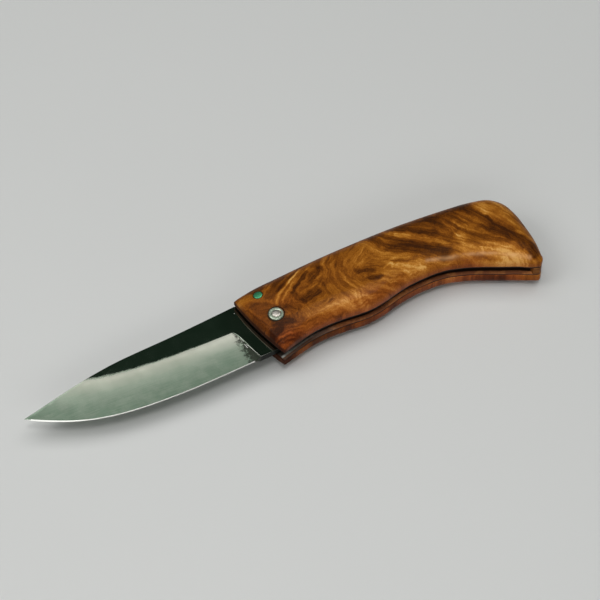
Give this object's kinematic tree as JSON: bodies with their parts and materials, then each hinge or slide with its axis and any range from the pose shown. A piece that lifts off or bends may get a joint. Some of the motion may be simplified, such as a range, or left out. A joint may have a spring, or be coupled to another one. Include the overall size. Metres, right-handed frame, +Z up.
{
  "type": "friction folding knife",
  "caption": "Friction folding knife with a drop point blade that turns on a peened pin between steel liners and crowned burl wood scales, with a stop pin and a wooden back spacer.",
  "frame": {"origin": "centre of the footprint, on the ground under the open knife", "axes": "+X from the blade's tip to the butt, +Y from the cutting edge to the spine, +Z up, square to the knife's flat side"},
  "size_m": [0.1886, 0.036, 0.0169],
  "materials": {
    "blade_steel": "mirror polished flats, satin bevels",
    "burl_wood": "glossy oiled burl",
    "liner_steel": "rolled steel sheet",
    "spacer_wood": "oiled straight grain",
    "nickel_silver": "polished pale nickel silver",
    "bronze": "satin bronze sheet",
    "pin_steel": "polished at the visible ends"
  },
  "bodies": {
    "handle": {"scale_left": "burl_wood", "scale_right": "burl_wood", "liner_left": "liner_steel", "liner_right": "liner_steel", "back_spacer": "spacer_wood", "pivot_pin": "nickel_silver", "outer_washer_left": "nickel_silver", "outer_washer_right": "nickel_silver", "inner_washer_left": "bronze", "inner_washer_right": "bronze", "stop_pin": "pin_steel", "spacer_pin_front": "pin_steel", "spacer_pin_middle": "pin_steel", "spacer_pin_rear": "pin_steel"},
    "blade": {"blade": "blade_steel"}
  },
  "joints": [
    {"name": "blade_pivot", "type": "hinge", "parent": "handle", "child": "blade", "pos_m": [-0.00305, -0.0027, 0.00846], "axis": [0, 0, 1], "range_deg": [0, 183]}
  ]
}
